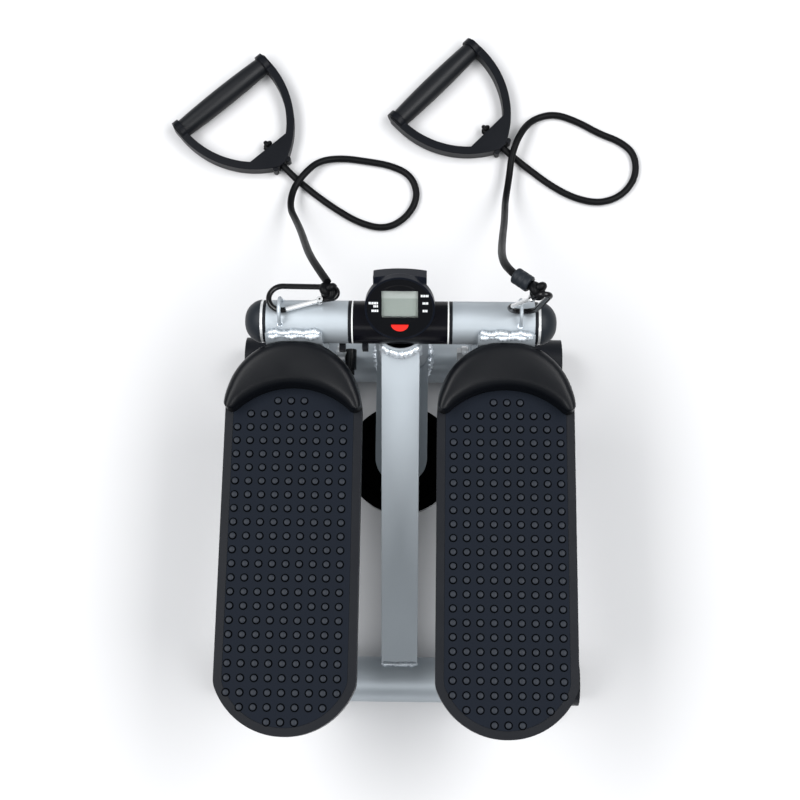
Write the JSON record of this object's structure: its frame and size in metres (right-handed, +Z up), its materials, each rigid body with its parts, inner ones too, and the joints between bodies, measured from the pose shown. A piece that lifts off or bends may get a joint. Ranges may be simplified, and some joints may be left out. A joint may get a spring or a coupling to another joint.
{
  "type": "mini stepper",
  "caption": "Under-desk mini stepper with counter-swinging studded pedals, a sloping beam on floor tubes, a step counter, hydraulic dampers and clip-on resistance bands.",
  "frame": {"origin": "on the floor, midway between the two floor tubes and midway between the pedals", "axes": "+X to the user's right, +Y forward to the axle end, where the bands lie, +Z up"},
  "size_m": [0.4392, 0.6372, 0.243],
  "materials": {
    "silver_paint": "satin powder coat",
    "black_plastic": "fine matte",
    "dome_plastic": "soft satin",
    "tread_rubber": "moulded matte",
    "zinc_steel": "zinc plated",
    "bright_washer": "polished",
    "nylon_white": "smooth",
    "black_steel": "gloss black",
    "damper_black": "satin black",
    "chrome_rod": "polished",
    "pulley_black": "smooth",
    "cable_steel": "clear coated",
    "console_plastic": "semi-gloss",
    "lens_clear": "clear",
    "screen_grey": "grey-green reflective",
    "board_green": "coated",
    "cell_steel": "polished",
    "button_red": "glossy",
    "cord_rubber": "smooth satin",
    "grip_foam": "closed-cell matte",
    "handle_plastic": "satin"
  },
  "bodies": {
    "base": {"front_cross_tube": "silver_paint", "rear_cross_tube": "silver_paint", "upright_tube": "silver_paint", "centre_beam": "silver_paint", "pulley_strap": "silver_paint", "damper_brackets": "silver_paint", "axle_centre_tube": "black_steel", "left_carabiner_body": "black_steel", "left_band_cord": "cord_rubber", "left_handle_frame": "handle_plastic", "right_carabiner_body": "black_steel", "right_band_cord": "cord_rubber", "right_handle_frame": "handle_plastic", "tube_end_caps": "black_plastic", "axle_shaft": "zinc_steel", "thrust_washers": "nylon_white", "axle_end_bolts": "bright_washer", "axle_end_domes": "dome_plastic", "pulley_bolt": "zinc_steel", "damper_lower_pins": "zinc_steel", "drive_cable": "cable_steel", "console_bracket": "black_plastic", "console_screws": "zinc_steel", "console_housing": "console_plastic", "console_face": "console_plastic", "screen_lens": "lens_clear", "screen_panel": "screen_grey", "circuit_board": "board_green", "button_cell": "cell_steel", "reed_sensor": "black_plastic", "handle_grips": "grip_foam", "cord_knots": "cord_rubber"},
    "left_pedal": {"left_sleeve": "silver_paint", "left_sleeve_bushes": "black_plastic", "left_pedal_tray": "black_plastic", "left_tread_mat": "tread_rubber", "left_toe_bumper": "black_plastic", "left_pedal_arm": "silver_paint", "left_pedal_fasteners": "zinc_steel", "left_cable_lever": "silver_paint", "sensor_magnet": "black_plastic"},
    "left_damper_body": {"left_damper_barrel": "damper_black"},
    "left_damper_piston": {"left_damper_rod": "chrome_rod"},
    "left_gate": {"left_carabiner_gate": "zinc_steel"},
    "right_pedal": {"right_sleeve": "silver_paint", "right_sleeve_bushes": "black_plastic", "right_pedal_tray": "black_plastic", "right_tread_mat": "tread_rubber", "right_toe_bumper": "black_plastic", "right_pedal_arm": "silver_paint", "right_pedal_fasteners": "zinc_steel", "right_cable_lever": "silver_paint"},
    "right_damper_body": {"right_damper_barrel": "damper_black"},
    "right_damper_piston": {"right_damper_rod": "chrome_rod"},
    "right_gate": {"right_carabiner_gate": "zinc_steel"},
    "pulley": {"cable_pulley": "pulley_black", "pulley_bush": "nylon_white"},
    "button": {"mode_button": "button_red"},
    "left_cable_end": {"left_cable_adjuster": "black_steel"},
    "right_cable_end": {"right_cable_eye": "zinc_steel"}
  },
  "joints": [
    {"name": "left_pedal_swing", "type": "hinge", "parent": "base", "child": "left_pedal", "pos_m": [0, 0.14, 0.17], "axis": [1, 0, 0], "range_deg": [-14, 14], "deforming": ["drive_cable"]},
    {"name": "right_pedal_swing", "type": "hinge", "parent": "base", "child": "right_pedal", "pos_m": [0, 0.14, 0.17], "axis": [1, 0, 0], "range_deg": [-14, 14]},
    {"name": "pulley_spin", "type": "hinge", "parent": "base", "child": "pulley", "pos_m": [0, 0.046, 0.056], "axis": [0, 0, 1], "range_deg": [-35.6, 35.6]},
    {"name": "left_damper_tilt", "type": "hinge", "parent": "base", "child": "left_damper_body", "pos_m": [0, 0.118, 0.042], "axis": [1, 0, 0], "range_deg": [-11.2, 11.2]},
    {"name": "left_piston_slide", "type": "slide", "parent": "left_damper_body", "child": "left_damper_piston", "axis": [0, -0.8783, 0.4781], "range_m": [-0.0303, 0.0303]},
    {"name": "left_cable_end_turn", "type": "hinge", "parent": "left_pedal", "child": "left_cable_end", "pos_m": [0, 0.14, 0.056], "axis": [1, 0, 0], "range_deg": [-14.2, 14.2]},
    {"name": "right_damper_tilt", "type": "hinge", "parent": "base", "child": "right_damper_body", "pos_m": [0, 0.118, 0.042], "axis": [1, 0, 0], "range_deg": [-11.2, 11.2]},
    {"name": "right_piston_slide", "type": "slide", "parent": "right_damper_body", "child": "right_damper_piston", "axis": [0, -0.8783, 0.4781], "range_m": [-0.0303, 0.0303]},
    {"name": "right_cable_end_turn", "type": "hinge", "parent": "right_pedal", "child": "right_cable_end", "pos_m": [0, 0.14, 0.056], "axis": [1, 0, 0], "range_deg": [-14.2, 14.2]},
    {"name": "mode_button_press", "type": "slide", "parent": "base", "child": "button", "axis": [0, 0.682, -0.7314], "range_m": [0, 0.0012], "stiffness_N_per_m": 400, "springref_m": -0.001},
    {"name": "left_gate_open", "type": "hinge", "parent": "base", "child": "left_gate", "pos_m": [-0.06309, 0.15276, 0.18853], "axis": [0, -0.2079, -0.9781], "range_deg": [0, 25], "stiffness_Nm_per_rad": 0.02, "springref_deg": -20.05},
    {"name": "right_gate_open", "type": "hinge", "parent": "base", "child": "right_gate", "pos_m": [0.0993, 0.145, 0.22861], "axis": [0, -1, 0], "range_deg": [0, 25], "stiffness_Nm_per_rad": 0.02, "springref_deg": -20.05}
  ],
  "couplings": [
    {"joint": "right_pedal_swing", "follows": "left_pedal_swing", "ratio": -1},
    {"joint": "pulley_spin", "follows": "left_pedal_swing", "ratio": -2.5055},
    {"joint": "left_damper_tilt", "follows": "left_pedal_swing", "ratio": 0.776},
    {"joint": "left_piston_slide", "follows": "left_pedal_swing", "m_per_rad": -0.1222},
    {"joint": "left_cable_end_turn", "follows": "left_pedal_swing", "ratio": -1},
    {"joint": "right_damper_tilt", "follows": "left_pedal_swing", "ratio": -0.776},
    {"joint": "right_piston_slide", "follows": "left_pedal_swing", "m_per_rad": 0.1222},
    {"joint": "right_cable_end_turn", "follows": "left_pedal_swing", "ratio": 1}
  ]
}
